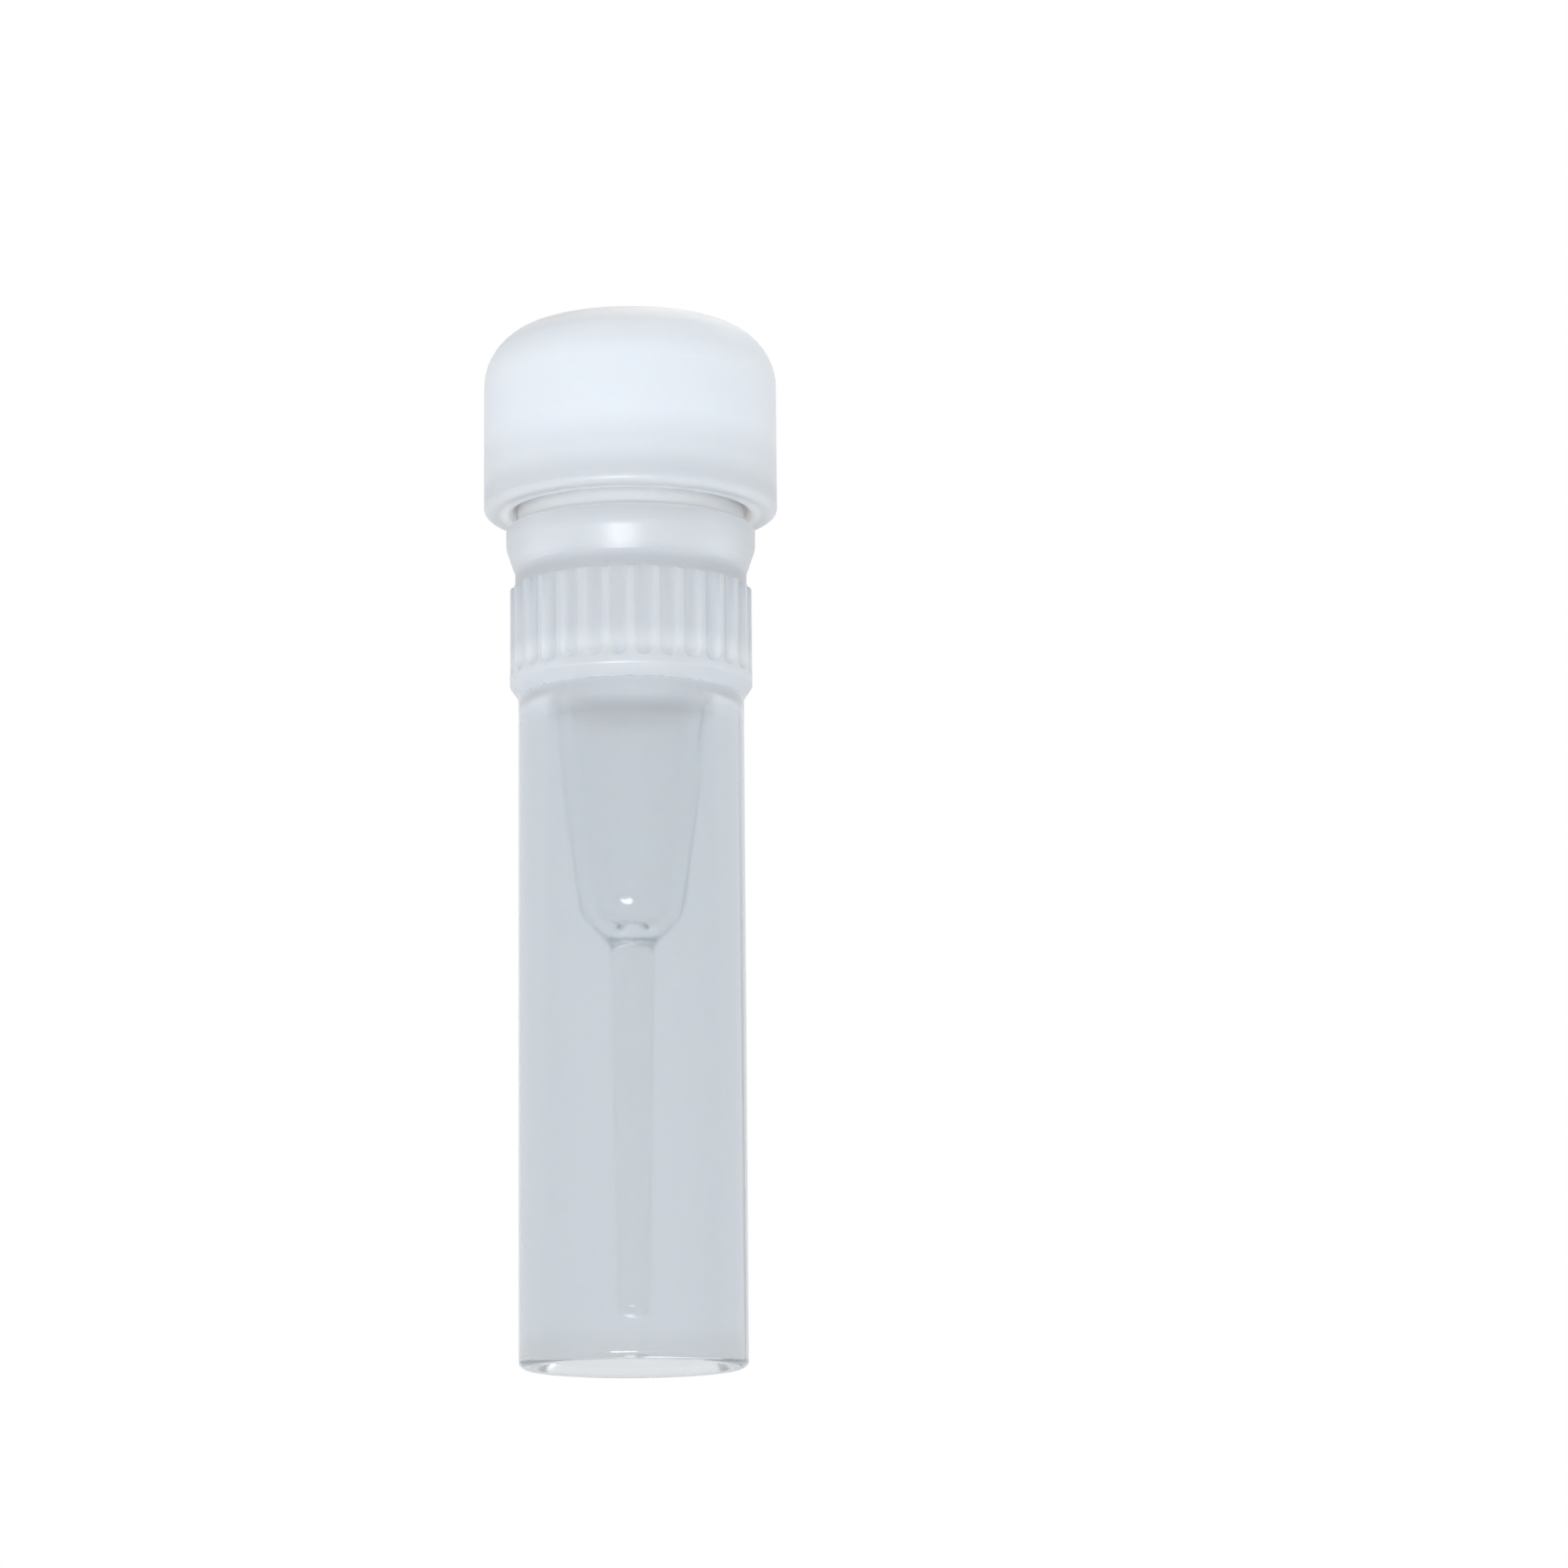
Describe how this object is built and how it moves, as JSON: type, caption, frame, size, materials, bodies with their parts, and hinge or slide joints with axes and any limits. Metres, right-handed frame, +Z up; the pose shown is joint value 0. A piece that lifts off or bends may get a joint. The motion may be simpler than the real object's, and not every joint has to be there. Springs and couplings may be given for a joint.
{
  "type": "cryovial",
  "caption": "Slim self-standing cryogenic sample vial in translucent plastic, with a fluted collar, a tapered inner vessel over an open skirt, and a smooth external-thread screw cap.",
  "frame": {"origin": "centre of the foot ring, on the plane that the vial stands on", "axes": "+Z up along the vial's axis, towards the cap; the thread's lower end starts on +X"},
  "size_m": [0.0142, 0.0142, 0.0502],
  "materials": {
    "vial": "natural polypropylene, translucent, softly glossy",
    "cap": "natural polyethylene, milky, satin",
    "seal": "silicone rubber, milky, matt"
  },
  "bodies": {
    "vial": {"vial_body": "vial"},
    "seal": {"seal_ring": "seal"},
    "cap": {"screw_cap": "cap"}
  },
  "joints": [
    {"name": "cap_lift", "type": "slide", "parent": "vial", "child": "seal", "axis": [0, 0, 1], "range_m": [0, 0.009]},
    {"name": "cap_turn", "type": "hinge", "parent": "seal", "child": "cap", "pos_m": [0, 0, 0.045], "axis": [0, 0, 1], "range_deg": [0, 1620]}
  ],
  "couplings": [
    {"joint": "cap_turn", "follows": "cap_lift", "rad_per_m": 3141.6}
  ]
}
